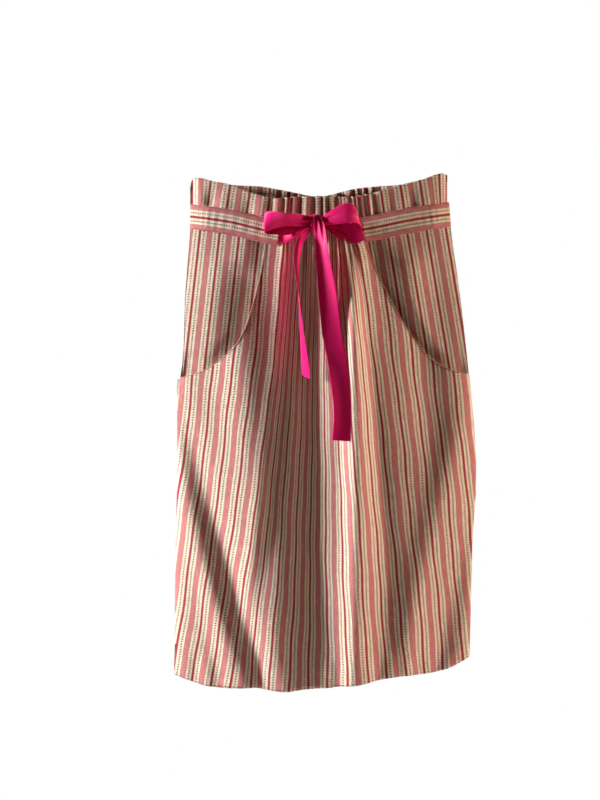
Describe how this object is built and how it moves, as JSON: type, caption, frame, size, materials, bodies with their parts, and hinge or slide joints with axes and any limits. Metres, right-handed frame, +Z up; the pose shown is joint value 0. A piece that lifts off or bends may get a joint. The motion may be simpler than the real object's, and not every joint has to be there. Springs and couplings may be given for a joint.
{
  "type": "drawstring skirt",
  "caption": "Gathered drawstring skirt in striped cotton, hung by its waist corners, with curved pockets, a casing band and a tied satin ribbon bow.",
  "frame": {"origin": "the level of the hung waist's two top corners, midway between them and midway between the front and the back seam line", "axes": "+Z up, along the skirt's length from hem to waist; the front with the bow faces -Y; +X to the right of a person who looks at the front"},
  "size_m": [0.3813, 0.1016, 0.6483],
  "materials": {
    "striped_cotton": "woven multi-stripe cotton, matt",
    "striped_cotton_across": "the same cotton with its stripes turned to run round the waist, matt",
    "satin_ribbon": "magenta satin ribbon, soft gloss",
    "pocket_lining": "plain cream cotton, matt",
    "mouth_binding": "narrow pink cotton binding, matt",
    "loop_tape": "narrow cream satin tape"
  },
  "bodies": {
    "skirt": {"front_panel": "striped_cotton", "back_panel": "striped_cotton", "heading_front": "striped_cotton", "heading_back": "striped_cotton", "casing": "striped_cotton_across", "ribbon_run": "satin_ribbon", "bow_knot": "satin_ribbon", "pocket_backing_left": "striped_cotton", "pocket_backing_right": "striped_cotton", "pocket_facing_left": "pocket_lining", "pocket_facing_right": "pocket_lining", "pocket_binding_left": "mouth_binding", "pocket_binding_right": "mouth_binding", "side_seam_left": "striped_cotton", "side_seam_right": "striped_cotton"},
    "bow_loop_left_body": {"bow_loop_left": "satin_ribbon"},
    "bow_loop_right_body": {"bow_loop_right": "satin_ribbon"},
    "hanger_loop_left_body": {"hanger_loop_left": "loop_tape"},
    "hanger_loop_right_body": {"hanger_loop_right": "loop_tape"},
    "ribbon_tail_left_body": {"ribbon_tail_left": "satin_ribbon"},
    "ribbon_tail_right_body": {"ribbon_tail_right": "satin_ribbon"}
  },
  "joints": [
    {"name": "tail_left_lift", "type": "hinge", "parent": "skirt", "child": "ribbon_tail_left_body", "pos_m": [-0.024, -0.0385, -0.0768], "axis": [-1, 0, 0], "range_deg": [0, 70]},
    {"name": "tail_right_lift", "type": "hinge", "parent": "skirt", "child": "ribbon_tail_right_body", "pos_m": [-0.004, -0.0385, -0.0568], "axis": [-1, 0, 0], "range_deg": [0, 70]},
    {"name": "loop_left_swing", "type": "hinge", "parent": "skirt", "child": "bow_loop_left_body", "pos_m": [-0.0135, -0.0325, -0.064], "axis": [0, 0, 1], "range_deg": [0, 30], "stiffness_Nm_per_rad": 0.005},
    {"name": "loop_right_swing", "type": "hinge", "parent": "skirt", "child": "bow_loop_right_body", "pos_m": [0.0065, -0.0325, -0.062], "axis": [0, 0, -1], "range_deg": [0, 30], "stiffness_Nm_per_rad": 0.005},
    {"name": "hanger_loop_left_flip", "type": "hinge", "parent": "skirt", "child": "hanger_loop_left_body", "pos_m": [-0.144, 0, -0.04], "axis": [0, -1, 0], "range_deg": [0, 180]},
    {"name": "hanger_loop_right_flip", "type": "hinge", "parent": "skirt", "child": "hanger_loop_right_body", "pos_m": [0.144, 0, -0.04], "axis": [0, 1, 0], "range_deg": [0, 180]}
  ]
}
